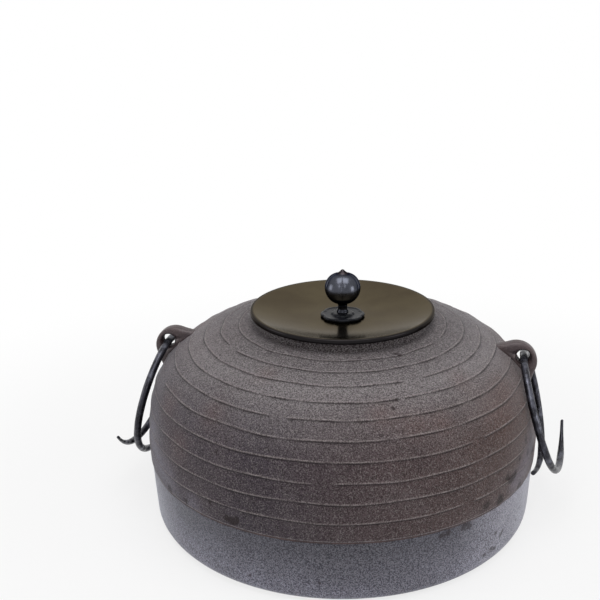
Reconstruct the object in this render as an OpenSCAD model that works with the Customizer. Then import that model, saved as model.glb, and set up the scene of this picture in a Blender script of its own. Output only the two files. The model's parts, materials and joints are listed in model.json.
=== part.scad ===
// Flat-round tea kettle of cast iron: an upper shell with raised lines, a lower pan,
// two lugs with open carrying rings, and a dished bronze lid with a bud-shaped knob.
// Millimetres. The origin is the centre of the base on the surface it stands on, +Z is up
// and the two lugs lie on +X and -X.

/* [Body] */
// Widest diameter of the body
body_d = 265; // [250:1:295]
// Height of the seam between the shell and the pan
seam_z = 44; // [36:0.5:56]
// Outward lean of the wall where it leaves the seam, degrees
side_lean = 3; // [1:0.5:5]
// Radius of the side's curve
side_r = 150; // [130:1:175]
// Slope of the wall where the side turns into the shoulder, degrees from level
side_end = 101; // [97:0.5:106]
// Radius of the shoulder's curve
shoulder_r = 52; // [46:1:58]
// Slope where the shoulder turns into the top, degrees from level
shoulder_end = 142.5; // [138:0.5:148]
// Radius of the curve from the shoulder to the top
top_r = 87; // [72:1:102]
// Slope of the top as it runs up to the mouth, degrees from level
top_end = 174; // [168:1:177]
// Thickness of the shell's wall
wall = 3.6; // [2.8:0.1:5]

/* [Mouth] */
// Inside diameter of the mouth
mouth_d = 106; // [96:1:112]
// Thickness of the mouth's upright rim
rim_wall = 4.2; // [3:0.1:6]
// Height of the rim above the top of the body
rim_h = 5.8; // [4:0.1:9]
// Size of the sloped foot round the rim
rim_foot = 1.2; // [0.4:0.1:2]

/* [Raised lines] */
// Number of raised lines round the shell
line_count = 10; // [6:1:10]
// Distance of the lowest line from the seam, along the wall
line_first = 12.4; // [8:0.1:16]
// Distance from one line to the next, along the wall
line_pitch = 11.9; // [9:0.05:12]
// Width of a line
line_w = 2.2; // [1.4:0.1:3]
// Height of a line
line_h = 0.5; // [0.2:0.05:0.8]

/* [Pan] */
// How far the pan stands in from the shell at the seam
pan_inset = 0.7; // [0.2:0.1:1.5]
// How much the pan's wall draws in on its way down
pan_taper = 2; // [0.5:0.1:5]
// Radius of the rounded edge of the base
base_corner = 9; // [6:0.5:14]
// Thickness of the pan's wall and floor
pan_wall = 3.6; // [2.8:0.1:5]
// Height of the pan's upright tongue inside the shell
lap = 9; // [5:0.5:14]
// Thickness of the tongue
tongue_t = 3.2; // [2.4:0.1:4.5]
// Thickness of the lacquer between the tongue and the shell
film = 0.4; // [0.2:0.05:0.8]
// Height of the lacquer bead that shows at the seam
bead_h = 1.6; // [0.8:0.1:2.6]

/* [Lugs] */
// Place of the lugs along the wall, from the seam up
lug_s = 66; // [60:0.2:72]
// Radius of the lug's ear
ear_r = 14; // [12:0.1:16]
// Thickness of the ear at its middle
lug_t = 11.5; // [8:0.5:13]
// Radius of the ear's two domed faces
dome_r = 60; // [30:1:90]
// Radius of the curve of the lug's long foot
foot_r = 20; // [17:0.5:26]
// Height of the foot above the wall
foot_h = 8; // [6:0.5:9]
// Diameter of the hole for the ring
eye_d = 8.6; // [8:0.1:9]
// Height of the hole's centre above the wall
eye_h = 6.4; // [5.2:0.1:7.5]
// Diameter of the tenon that holds the lug in the wall
tenon_d = 9; // [6:0.5:11]
// Length of tenon that shows inside the wall
tenon_out = 1.2; // [0.6:0.1:3]
// Clearance round a tenon, on the radius
tenon_gap = 0.03; // [0.01:0.01:0.1]

/* [Rings] */
// Diameter of a ring, at the middle of its wire
ring_d = 82; // [74:0.5:92]
// Diameter of the wire
wire_d = 5; // [4:0.1:5.4]
// Diameter of the wire at the outer tip
outer_tip_d = 2.2; // [1:0.1:3]
// Diameter of the wire at the inner end
inner_tip_d = 3.4; // [2.4:0.1:4.6]
// Turn of the ring from the lug to its outer tip, degrees
outer_turn = 229; // [210:1:245]
// Turn of the ring from the lug to its inner end, degrees
inner_turn = 199; // [186:1:206]
// How far the outer tip stands out from the ring's plane
outer_splay = 12; // [6:0.5:15]
// How far the inner end stands in from the ring's plane
inner_splay = 12.5; // [8:0.5:16]
// How sharply the ends leave the plane
splay_power = 3.2; // [2:0.1:4]
// Turn of the ring over which an end grows thin, degrees
taper_turn = 45; // [40:5:140]
// How far the right-hand ring hangs turned in its lug, its +Y side outward, degrees
right_twist = 3; // [0:0.5:4]
// Clearance between a ring and what it hangs in or rests on
ring_gap = 0.35; // [0.3:0.05:0.5]

/* [Lid] */
// Diameter of the lid
lid_d = 123.5; // [118:0.5:126]
// Thickness of the lid
lid_t = 3.2; // [2.4:0.1:4.5]
// Depth of the dish in the lid's top
lid_dish = 6.5; // [3:0.5:9]
// Width of the lid's level brim
brim_w = 1.6; // [1:0.1:4]
// Radius of the lid's rounded edge
lid_edge = 0.9; // [0.4:0.1:1.1]
// Depth of the ring under the lid that keeps it in the mouth
flange_h = 6; // [4:0.5:9]
// Thickness of that ring
flange_t = 2.2; // [1.4:0.1:3.5]
// Clearance between that ring and the mouth, on the radius
flange_gap = 0.8; // [0.4:0.1:1.5]

/* [Knob] */
// Width of the knob
knob_w = 24.2; // [23.4:0.2:28]
// Height of the knob's bud
knob_h = 21.4; // [18:0.2:23]
// Number of petals in the bud
petals = 5; // [4:1:8]
// Height of the point on top of the bud
point_h = 2.4; // [1.4:0.1:3.4]
// Diameter of the point at its foot
point_d = 6; // [4:0.2:8]
// Diameter of the neck
neck_d = 6.2; // [5.4:0.1:8]
// Length of the neck that shows between the seat and the bud
neck_h = 6; // [4:0.1:10]
// Diameter of the knob's stem
stem_d = 4.6; // [3.4:0.1:5]
// Clearance round the stem, on the radius
stem_gap = 0.04; // [0.01:0.01:0.1]
// Width of the flower-shaped seat
seat_d = 30; // [26:0.5:34]
// Thickness of the seat
seat_t = 2.2; // [1.6:0.1:3.2]
// Number of petals round the seat
seat_petals = 8; // [6:1:12]
// Width of the raised flower in the middle of the seat
boss_d = 15; // [11:0.5:18]
// Height of that raised flower
boss_h = 0.7; // [0.4:0.1:1.2]
// Diameter of the washer under the lid
washer_d = 18; // [13:0.5:24]
// Thickness of the washer
washer_t = 1.5; // [1:0.1:2.5]
// Diameter of the stem's hammered end
peen_d = 8.4; // [7:0.2:10]
// Height of the stem's hammered end
peen_h = 1.8; // [1:0.1:2.5]

/* [Sounding plates] */
// Length of a plate
plate_l = 30; // [22:1:40]
// Width of a plate
plate_w = 16; // [12:1:22]
// Thickness of a plate
plate_t = 3; // [2:0.5:5]
// Distance of the plates from the middle
plate_r = 62; // [45:1:80]
// Thickness of the lacquer under a plate
bed_t = 1; // [0.5:0.1:2]
// How far the lacquer shows round a plate
bed_rim = 2; // [0.5:0.5:4]

/* [Hidden] */
$fn = 96;

// The wall's curve runs up from the seam in three arcs and then straight to the mouth.
slope_0 = 90 - side_lean;
seam_r = body_d / 2 - side_r * (1 - cos(side_lean));
len_1 = side_r * (side_end - slope_0) * PI / 180;
len_2 = shoulder_r * (shoulder_end - side_end) * PI / 180;
len_3 = top_r * (top_end - shoulder_end) * PI / 180;
rim_r = mouth_d / 2 + rim_wall;

// Step along an arc of radius r from slope a to slope b.
function arc_step(r, a, b) = [r * (sin(b) - sin(a)), r * (cos(a) - cos(b))];
// Slope of the wall at a distance s from the seam.
function slope(s) =
    s < len_1 ? slope_0 + s / side_r * 180 / PI :
    s < len_1 + len_2 ? side_end + (s - len_1) / shoulder_r * 180 / PI :
    s < len_1 + len_2 + len_3 ? shoulder_end + (s - len_1 - len_2) / top_r * 180 / PI : top_end;
end_1 = [seam_r, seam_z] + arc_step(side_r, slope_0, side_end);
end_2 = end_1 + arc_step(shoulder_r, side_end, shoulder_end);
end_3 = end_2 + arc_step(top_r, shoulder_end, top_end);
// Point [radius, height] on the wall at a distance s from the seam.
function wall_point(s) =
    s < len_1 ? [seam_r, seam_z] + arc_step(side_r, slope_0, slope(s)) :
    s < len_1 + len_2 ? end_1 + arc_step(shoulder_r, side_end, slope(s)) :
    s < len_1 + len_2 + len_3 ? end_2 + arc_step(top_r, shoulder_end, slope(s)) :
    end_3 + (s - len_1 - len_2 - len_3) * [cos(top_end), sin(top_end)];
// Direction straight out of the wall at a distance s from the seam.
function wall_normal(s) = [sin(slope(s)), -cos(slope(s))];

// Length of the wall up to the rim's sloped foot, and to the rim itself.
len_foot = len_1 + len_2 + len_3 + (end_3[0] - rim_r - rim_foot) / -cos(top_end);
len_rim = len_1 + len_2 + len_3 + (end_3[0] - rim_r) / -cos(top_end);
rim_z = wall_point(len_rim)[1] + rim_h;
top_z = rim_z + lid_t;

// Distances from the seam at which the outline has a point: five on each line, three between.
line_s = [for (i = [0 : line_count - 1]) line_first + i * line_pitch];
function line_part(s) = [for (k = [-2 : 2]) [s + k * line_w / 4, line_h * (1 - pow(k / 2, 2))]];
function gap_part(a, b, n) = [for (k = [1 : n]) [a + (b - a) * k / (n + 1), 0]];
outline_s = concat(
    [[0, 0]],
    gap_part(0, line_first - line_w / 2, 3),
    [for (i = [0 : line_count - 1]) each concat(
        line_part(line_s[i]),
        i < line_count - 1 ? gap_part(line_s[i] + line_w / 2, line_s[i + 1] - line_w / 2, 3) : [])],
    [[len_foot, 0]]);
outer_line = [for (q = outline_s) wall_point(q[0]) + q[1] * wall_normal(q[0])];
inner_n = 44;
inner_line = [for (k = [0 : inner_n])
    wall_point(len_rim * k / inner_n) - wall * wall_normal(len_rim * k / inner_n)];

// Everything inside the wall's outer face, which trims the lugs' feet.
module shell_core() {
    rotate_extrude()
        polygon(concat([[0, seam_z]], outer_line, [[0, wall_point(len_foot)[1]]]));
}

// Upper casting: mouth rim, top, shoulder and side, with its raised lines.
module upper_shell() {
    mouth_r = mouth_d / 2;
    inside = [for (k = [inner_n : -1 : 0]) if (inner_line[k][0] > mouth_r + wall / 18) inner_line[k]];
    color("#5a4e4b")
    difference() {
        rotate_extrude()
            polygon(concat(
                outer_line,
                [[rim_r, wall_point(len_rim)[1] + rim_foot], [rim_r, rim_z], [mouth_r, rim_z],
                    [mouth_r, inside[0][1]]],
                inside));
        for (a = [0, 180])
            rotate([0, 0, a]) lug_tenon(tenon_gap, 2 * wall + tenon_out);
    }
}

// Radii of the pan: its top, the foot of its wall, and its tongue.
pan_top_r = seam_r - pan_inset;
pan_foot_r = pan_top_r - pan_taper;
tongue_r = seam_r - wall - film;
ledge_z = seam_z - bead_h;
thick_z = ledge_z - 2 * tongue_t;
thin_z = thick_z - 2 * pan_wall;
function pan_r(z) = pan_foot_r + pan_taper * (z - base_corner) / (ledge_z - base_corner);
corner_n = 8;
in_corner = max(base_corner - pan_wall, 1);

// Lower casting: flat floor, rounded edge, wall and the tongue that stands inside the shell.
module bottom_pan() {
    foot = [for (k = [0 : corner_n])
        [pan_foot_r - base_corner + base_corner * sin(90 * k / corner_n),
            base_corner - base_corner * cos(90 * k / corner_n)]];
    bowl = [for (k = [corner_n : -1 : 0])
        [pan_foot_r - pan_wall - in_corner + in_corner * sin(90 * k / corner_n),
            pan_wall + in_corner - in_corner * cos(90 * k / corner_n)]];
    color("#5f5d60")
    rotate_extrude()
        polygon(concat(
            [[0, 0]],
            foot,
            [[pan_top_r, ledge_z], [tongue_r, ledge_z], [tongue_r, seam_z + lap],
                [tongue_r - tongue_t, seam_z + lap], [tongue_r - tongue_t, thick_z],
                [pan_r(thin_z) - pan_wall, thin_z]],
            bowl,
            [[0, pan_wall]]));
}

// Iron lacquer: a film round the tongue and a bead that shows between the two castings.
module seam_lacquer() {
    bulge = pan_inset / 2;
    color("#5b3a2e")
    rotate_extrude()
        polygon([
            [tongue_r, ledge_z], [pan_top_r, ledge_z],
            [pan_top_r + bulge, ledge_z + bead_h / 2], [pan_top_r, seam_z],
            [tongue_r + film, seam_z], [tongue_r + film, seam_z + lap], [tongue_r, seam_z + lap]]);
}

// Middle of the lug's foot on the wall, and the hole's centre above it.
lug_point = wall_point(lug_s);
lug_normal = wall_normal(lug_s);
eye = lug_point + eye_h * lug_normal;
lug_tilt = atan2(lug_normal[0], lug_normal[1]);

// Places children at the foot of the right-hand lug, with their Z straight out of the wall.
module at_lug() {
    translate([lug_point[0], 0, lug_point[1]]) rotate([0, lug_tilt, 0]) children();
}

// Tenon that runs in from the wall's face, wider by gap on the radius.
module lug_tenon(gap, depth) {
    at_lug() translate([0, 0, -depth]) cylinder(d = tenon_d + 2 * gap, h = depth + 3 * line_h);
}

// Lug: an ear with domed faces on a longer foot, a hole for the ring and a tenon.
module lug() {
    color("#54423f") {
        difference() {
            at_lug() intersection() {
                rotate([90, 0, 0]) union() {
                    cylinder(r = ear_r, h = 2 * lug_t, center = true);
                    translate([0, foot_h - foot_r, 0]) cylinder(r = foot_r, h = 2 * lug_t, center = true);
                }
                translate([0, dome_r - lug_t / 2, 0]) sphere(r = dome_r);
                translate([0, lug_t / 2 - dome_r, 0]) sphere(r = dome_r);
            }
            shell_core();
            at_lug() translate([0, 0, eye_h]) rotate([90, 0, 0])
                cylinder(d = eye_d, h = 4 * lug_t, center = true);
        }
        difference() {
            lug_tenon(0, wall + tenon_out);
            difference() {
                at_lug() cylinder(r = 2 * ear_r, h = 2 * ear_r);
                shell_core();
            }
        }
    }
}

module lug_right() {
    lug();
}

module lug_left() {
    rotate([0, 0, 180]) lug();
}

// Ring. It hangs in the hole with its wire on the lower side and leans out until its inner
// end rests on the pan, which sets the lean.
ring_r = ring_d / 2;
wire_r = wire_d / 2;
wire_sag = ring_r - sqrt(pow(ring_r, 2) - pow(lug_t / 2, 2));
hang = eye_d / 2 - wire_r - ring_gap - wire_sag;
rest_y = ring_r * sin(inner_turn);
rest_a = hang + ring_r * (1 - cos(inner_turn));
// Place of the inner end on a ring turned by a twist: how far it stands in, and sideways.
function rest_point(twist) = [
    inner_splay * cos(twist) - rest_y * sin(twist),
    rest_y * cos(twist) + inner_splay * sin(twist)];
// Lean at which that end rests on a wall of radius r.
function lean_on(r, p) =
    let (x = sqrt(pow(r + inner_tip_d / 2 + ring_gap, 2) - pow(p[1], 2)) - eye[0])
        asin(x / norm([rest_a, p[0]])) + atan2(p[0], rest_a);
function ring_lean(twist) =
    let (p = rest_point(twist), lean = lean_on(pan_top_r, p))
        lean_on(pan_r(eye[1] - rest_a * cos(lean) - p[0] * sin(lean)), p);

// Distance of the wire from the ring's plane at a turn t from the lug, outward positive.
function splay(t) = t > 0 ?
    -inner_splay * pow(t / inner_turn, splay_power) :
    outer_splay * pow(-t / outer_turn, splay_power);
// Radius of the wire at a turn t from the lug.
function ease(q) = q <= 0 ? 0 : q * q * (3 - 2 * q);
function wire_at(t) = t > 0 ?
    wire_r + (inner_tip_d / 2 - wire_r) * ease((t - inner_turn + taper_turn) / taper_turn) :
    wire_r + (outer_tip_d / 2 - wire_r) * ease((-t - outer_turn + taper_turn) / taper_turn);
// Each station is a turn and a wire radius; the last few at each end round it off.
ring_n = 84;
dome_n = 3;
function dome_turn(d, k) = d / 2 * sin(84 * k / dome_n) / ring_r * 180 / PI;
stations = concat(
    [for (k = [dome_n : -1 : 1])
        [-outer_turn - dome_turn(outer_tip_d, k), outer_tip_d / 2 * cos(84 * k / dome_n)]],
    [for (k = [0 : ring_n]) let (t = -outer_turn + (outer_turn + inner_turn) * k / ring_n) [t, wire_at(t)]],
    [for (k = [1 : dome_n])
        [inner_turn + dome_turn(inner_tip_d, k), inner_tip_d / 2 * cos(84 * k / dome_n)]]);
wire_n = 16;
// Points of the wire's skin, before the ring is leaned and hung: X out of its plane, Z up.
function skin(t, r) = [for (j = [0 : wire_n - 1])
    let (b = 360 * j / wire_n, m = ring_r + r * cos(b))
        [splay(t) + r * sin(b), m * sin(t), -hang - ring_r + m * cos(t)]];

module ring(twist) {
    n = len(stations);
    points = [for (q = stations) each skin(q[0], q[1])];
    faces = concat(
        [[for (j = [0 : wire_n - 1]) j]],
        [[for (j = [wire_n - 1 : -1 : 0]) (n - 1) * wire_n + j]],
        [for (i = [0 : n - 2]) for (j = [0 : wire_n - 1])
            let (k = (j + 1) % wire_n)
                [i * wire_n + j, (i + 1) * wire_n + j, (i + 1) * wire_n + k, i * wire_n + k]]);
    color("#26262b")
    translate([eye[0], 0, eye[1]]) rotate([0, -ring_lean(twist), 0]) rotate([0, 0, -twist])
        polyhedron(points = points, faces = faces, convexity = 6);
}

module ring_right() {
    ring(right_twist);
}

module ring_left() {
    rotate([0, 0, 180]) ring(0);
}

// Lid. Its top is level in the middle and rises in a curve to the brim.
lid_r = lid_d / 2;
flat_r = seat_d * 17 / 30;
dish_r = lid_r - lid_edge - brim_w;
flange_r = mouth_d / 2 - flange_gap;
function dish_z(r) = top_z - lid_dish * (1 - pow((r - flat_r) / (dish_r - flat_r), 2));
seat_z = top_z - lid_dish;
dish_n = 14;
edge_n = 5;

// Bronze lid: a dished plate with a rounded edge and a ring that keeps it in the mouth.
module lid_plate() {
    hole_r = stem_d / 2 + stem_gap;
    dish = [for (k = [0 : dish_n]) let (r = flat_r + (dish_r - flat_r) * k / dish_n) [r, dish_z(r)]];
    edge = [for (k = [0 : edge_n])
        [lid_r - lid_edge + lid_edge * sin(90 * k / edge_n),
            top_z - lid_edge + lid_edge * cos(90 * k / edge_n)]];
    low_edge = [for (k = [edge_n : -1 : 0])
        [lid_r - lid_edge + lid_edge * sin(90 * k / edge_n),
            rim_z + lid_edge - lid_edge * cos(90 * k / edge_n)]];
    in_r = flange_r - flange_t;
    under = [for (k = [dish_n : -1 : 0])
        let (r = flat_r + (in_r - flat_r) * k / dish_n) [r, dish_z(r) - lid_t]];
    color("#3a352b")
    rotate_extrude()
        polygon(concat(
            [[hole_r, seat_z]],
            dish,
            edge,
            low_edge,
            [[flange_r, rim_z], [flange_r, rim_z - flange_h], [in_r, rim_z - flange_h]],
            under,
            [[hole_r, seat_z - lid_t]]));
}

// Flower outline of width d with n round petals.
module flower(d, n) {
    petal_r = d / 2 * sin(180 / n) * 1.08;
    circle(r = d / 2 - petal_r);
    for (i = [0 : n - 1])
        rotate([0, 0, 360 * i / n]) translate([d / 2 - petal_r, 0]) circle(r = petal_r);
}

// Flower-shaped seat of the knob, with a smaller raised flower in its middle.
module knob_seat() {
    color("#1d1f24")
    translate([0, 0, seat_z]) difference() {
        union() {
            linear_extrude(height = seat_t) flower(seat_d, seat_petals);
            translate([0, 0, seat_t / 2])
                linear_extrude(height = seat_t / 2 + boss_h) flower(boss_d, seat_petals);
        }
        translate([0, 0, -seat_t]) cylinder(r = stem_d / 2 + stem_gap, h = 3 * seat_t + boss_h);
    }
}

// The bud stands on its neck above the seat.
neck_z = seat_z + seat_t + boss_h;
bud_z = neck_z + neck_h + knob_h / 2;
petal_out = (knob_w - knob_h) / 2;
under_z = seat_z - lid_t - washer_t;

// Knob: a bud of round petals with a point on top, a neck, and a stem hammered over below.
module knob() {
    turn = 180 / petals - 90;
    neck_flare = neck_d * 0.12;
    color("#1a1c22") {
        translate([0, 0, bud_z]) {
            for (i = [0 : petals - 1])
                rotate([0, 0, turn + 360 * i / petals]) translate([petal_out, 0, 0]) sphere(d = knob_h);
            translate([0, 0, knob_h / 2 - point_h / 2]) {
                cylinder(d1 = point_d * 1.3, d2 = point_d * 0.75, h = point_h * 0.8);
                translate([0, 0, point_h * 0.8])
                    cylinder(d1 = point_d * 0.6, d2 = point_d * 0.2, h = point_h * 0.7);
            }
        }
        translate([0, 0, neck_z]) cylinder(d = neck_d, h = neck_h + knob_h / 4);
        translate([0, 0, neck_z]) cylinder(d1 = neck_d + 2 * neck_flare, d2 = neck_d, h = neck_h / 3);
        translate([0, 0, neck_z + neck_h * 0.7])
            cylinder(d1 = neck_d, d2 = neck_d * 2, h = neck_h * 0.5);
        translate([0, 0, under_z - peen_h / 2])
            cylinder(d = stem_d, h = neck_z - under_z + peen_h / 2 + neck_h / 6);
        translate([0, 0, under_z - peen_h]) cylinder(d1 = peen_d * 0.6, d2 = peen_d, h = peen_h);
    }
}

// Washer between the lid and the stem's hammered end.
module stem_washer() {
    color("#35302a")
    translate([0, 0, under_z]) difference() {
        cylinder(d = washer_d, h = washer_t);
        translate([0, 0, -washer_t]) cylinder(r = stem_d / 2 + stem_gap, h = 3 * washer_t);
    }
}

// The plates lie on the floor of the pan at even turns round its middle.
plate_count = 3;

// Places children at plate i.
module at_plate(i) {
    rotate([0, 0, 90 + 360 * i / plate_count]) translate([plate_r, 0, pan_wall]) children();
}

// Iron plate that makes the kettle sing, on its bed of lacquer.
module sounding_plate(i) {
    color("#4a4340")
    at_plate(i) translate([-plate_w / 2, -plate_l / 2, bed_t]) cube([plate_w, plate_l, plate_t]);
}

module plate_lacquer(i) {
    color("#4a2f26")
    at_plate(i) translate([-plate_w / 2 - bed_rim, -plate_l / 2 - bed_rim, 0])
        cube([plate_w + 2 * bed_rim, plate_l + 2 * bed_rim, bed_t]);
}

module sounding_plate_1() { sounding_plate(0); }
module sounding_plate_2() { sounding_plate(1); }
module sounding_plate_3() { sounding_plate(2); }
module plate_lacquer_1() { plate_lacquer(0); }
module plate_lacquer_2() { plate_lacquer(1); }
module plate_lacquer_3() { plate_lacquer(2); }

upper_shell();
bottom_pan();
seam_lacquer();
lug_right();
lug_left();
ring_right();
ring_left();
lid_plate();
knob_seat();
knob();
stem_washer();
sounding_plate_1();
sounding_plate_2();
sounding_plate_3();
plate_lacquer_1();
plate_lacquer_2();
plate_lacquer_3();
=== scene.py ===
"""Looks of a flat-round cast-iron tea kettle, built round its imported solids.

Sizes are in millimetres up to the last step, which makes them metres. The kettle stands on z = 0,
its lugs lie on +X and -X, and its front looks along -Y.
"""
import json

import bpy
import numpy as np
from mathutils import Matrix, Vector


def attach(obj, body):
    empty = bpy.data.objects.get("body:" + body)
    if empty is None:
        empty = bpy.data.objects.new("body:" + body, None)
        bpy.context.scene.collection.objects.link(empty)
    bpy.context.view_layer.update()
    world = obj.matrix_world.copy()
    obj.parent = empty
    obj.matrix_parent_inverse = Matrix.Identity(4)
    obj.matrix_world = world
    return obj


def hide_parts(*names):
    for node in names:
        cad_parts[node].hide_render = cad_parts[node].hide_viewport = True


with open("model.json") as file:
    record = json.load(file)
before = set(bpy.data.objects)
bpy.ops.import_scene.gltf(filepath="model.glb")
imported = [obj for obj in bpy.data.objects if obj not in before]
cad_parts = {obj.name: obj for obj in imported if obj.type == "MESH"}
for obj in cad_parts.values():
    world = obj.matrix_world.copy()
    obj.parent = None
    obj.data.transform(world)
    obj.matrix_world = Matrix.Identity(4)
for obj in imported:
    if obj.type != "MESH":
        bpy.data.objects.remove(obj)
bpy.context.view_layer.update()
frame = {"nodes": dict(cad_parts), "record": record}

MM = 0.001
TAU = 2 * np.pi
WHITE = (1, 1, 1, 1)
FRONT = np.radians(-83.05)    # turn at which the camera stands, from +X

# The sizes down to the knob's are those of the solids. The wall runs up from the seam in three arcs,
# given by their radii and by the slopes of the wall at their ends, and then straight to the mouth.
BODY_D, SEAM_Z, WALL = 265.0, 44.0, 3.6
ARC_R = np.array([150.0, 52.0, 87.0])
ARC_SLOPE = np.radians([87.0, 101.0, 142.5, 174.0])
ARC_END = np.concatenate([[0], np.cumsum(ARC_R * np.diff(ARC_SLOPE))])
SEAM_R = BODY_D / 2 - ARC_R[0] * (1 - np.sin(ARC_SLOPE[0]))
# Raised lines: the lowest one's distance from the seam, the distance between two, and their height.
LINE_FIRST, LINE_PITCH, LINE_COUNT, LINE_H = 12.4, 11.9, 10, 0.5


def wall(s):
    """Radius, height and slope of the shell's wall at a distance s up from the seam. Each of three
    arcs adds its radius times the change of the slope's sine and cosine, then it runs straight."""
    slope = np.interp(s, ARC_END, ARC_SLOPE)
    part = np.clip(slope[..., None], ARC_SLOPE[:-1], ARC_SLOPE[1:])
    past = np.maximum(s - ARC_END[-1], 0)
    r = SEAM_R + (ARC_R * (np.sin(part) - np.sin(ARC_SLOPE[:-1]))).sum(-1) + past * np.cos(slope)
    z = SEAM_Z + (ARC_R * (np.cos(ARC_SLOPE[:-1]) - np.cos(part))).sum(-1) + past * np.sin(slope)
    return r, z, slope


# Mouth: outside and inside of the rim, its height, and the size of the sloped foot round it.
RIM_R, MOUTH_R, RIM_H, RIM_FOOT = 57.2, 53.0, 5.8, 1.2
TOP_RUN = -np.cos(ARC_SLOPE[-1])    # change of radius along the straight top
LEN_RIM = ARC_END[-1] + (wall(ARC_END[-1])[0] - RIM_R) / TOP_RUN
LEN_FOOT = LEN_RIM - RIM_FOOT / TOP_RUN
RIM_FOOT_Z = wall(LEN_RIM)[1] + RIM_FOOT
RIM_Z = wall(LEN_RIM)[1] + RIM_H

# Pan: its wall, its rounded edge, the tongue that stands inside the shell, and the lacquer round that.
PAN_INSET, PAN_TAPER, PAN_WALL, BASE_CORNER = 0.7, 2.0, 3.6, 9.0
TONGUE_T, LAP, FILM, BEAD_H = 3.2, 9.0, 0.4, 1.6
PAN_R, TONGUE_R = SEAM_R - PAN_INSET, SEAM_R - WALL - FILM
LEDGE_Z, TONGUE_Z = SEAM_Z - BEAD_H, SEAM_Z + LAP

# Lugs: place up the wall, ear, hole, domed faces, half thickness, foot and tenon.
LUG_S, EAR_R, EYE_H, EYE_R, DOME_R, LUG_HALF = 66.0, 14.0, 6.4, 4.3, 60.0, 5.75
FOOT_R, FOOT_H, TENON_R = 20.0, 8.0, 4.5

# Rings: middle of the wire, the wire and its two ends, and the turns and splays of those ends.
RING_R, WIRE_R, OUTER_TIP, INNER_TIP = 41.0, 2.5, 1.1, 1.7
OUTER_TURN, INNER_TURN, TAPER_TURN = np.radians([229.0, 199.0, 45.0])
OUTER_SPLAY, INNER_SPLAY, SPLAY_POWER = 12.0, 12.5, 3.2
RIGHT_TWIST, LEFT_TWIST = np.radians([3.0, 0.0])    # how far each ring hangs turned in its lug
RING_GAP = 0.35
# The wire's middle hangs this far below the hole's: its room there, less a gap and the ring's own bow.
HANG = EYE_R - WIRE_R - RING_GAP - (RING_R - np.sqrt(RING_R ** 2 - LUG_HALF ** 2))

# Lid with the ring under it, then the seat, the bud by its half width and half height, and the stem.
LID_R, LID_T, LID_DISH, LID_EDGE, BRIM_W = 61.75, 3.2, 6.5, 0.9, 1.6
FLANGE_R, FLANGE_T, FLANGE_H = MOUTH_R - 0.8, 2.2, 6.0
SEAT_R, SEAT_T, SEAT_PETALS, BOSS_R, BOSS_H = 15.0, 2.2, 8, 7.5, 0.7
BUD_R, BUD_HALF, BUD_PETALS, POINT_H = 12.1, 10.7, 5, 2.4
NECK_R, NECK_H, STEM_R, STEM_HOLE, WASHER_T, PEEN_H = 3.1, 6.0, 2.3, 2.34, 1.5, 1.8
TOP_Z = RIM_Z + LID_T
SEAT_Z = TOP_Z - LID_DISH
NECK_Z = SEAT_Z + SEAT_T + BOSS_H
BUD_Z = NECK_Z + NECK_H + BUD_HALF
UNDER_Z = SEAT_Z - LID_T - WASHER_T

HUB_R = 0.2    # radius of the small hole that a fan closes on the axis


def ease(x, low, high):
    """Smooth step from 0 at low to 1 at high."""
    t = np.clip((x - low) / (high - low), 0, 1)
    return t * t * (3 - 2 * t)


def ripple(angle, seed, low, high, count=7):
    """Sum of sine waves with whole numbers of turns, from low to high, so that it closes round."""
    draw = np.random.default_rng(seed)
    cycles = draw.integers(low, high + 1, count)
    phase = draw.uniform(0, TAU, count)
    return np.sin(np.multiply.outer(angle, cycles) + phase).sum(-1) / np.sqrt(count)


def turns(count):
    """Even turns round a circle."""
    return np.arange(count) * TAU / count


def from_front(angle, degrees):
    """Turn from a place so many degrees right of the front, within half a turn either way."""
    return (angle - FRONT - np.radians(degrees) + np.pi) % TAU - np.pi


def rounded(corners, closed, steps=6):
    """Line through corners of radius, height and cut: each corner becomes a parabola that starts
    and ends at the cut's distance from it."""
    corners = np.array(corners, float)
    spot, cut = corners[:, :2], corners[:, 2:]
    back = np.roll(spot, 1, 0) - spot
    ahead = np.roll(spot, -1, 0) - spot
    if not closed:
        back[0], ahead[-1] = ahead[0], back[-1]
    start = spot + cut * back / np.linalg.norm(back, axis=1, keepdims=True)
    end = spot + cut * ahead / np.linalg.norm(ahead, axis=1, keepdims=True)
    t = np.linspace(0, 1, steps)[None, :, None]
    line = (1 - t) ** 2 * start[:, None] + 2 * t * (1 - t) * spot[:, None] + t ** 2 * end[:, None]
    if closed:
        return line.reshape(-1, 2)
    return np.concatenate([spot[:1], line[1:-1].reshape(-1, 2), spot[-1:]])


def filled(line, step):
    """The same line with points added so that none are more than about a step apart. An added point
    stays three tenths of a step clear of the line's own."""
    length = np.concatenate([[0], np.cumsum(np.linalg.norm(np.diff(line, axis=0), axis=1))])
    extra = np.arange(step, length[-1], step)
    near = np.abs(extra[:, None] - length[None, :]).min(1)
    at = np.sort(np.concatenate([length, extra[near > step * 0.3]]))
    return np.stack([np.interp(at, length, line[:, k]) for k in (0, 1)], -1)


def turned(r, z, angle):
    """Grid of points of radius r and height z at turns round the Z axis."""
    return np.stack([r * np.cos(angle), r * np.sin(angle), z + 0 * angle], -1)


def spun(line, count):
    """Grid of a profile of radius and height turned round the Z axis."""
    return turned(line[:, :1], line[:, 1:], turns(count))


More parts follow.
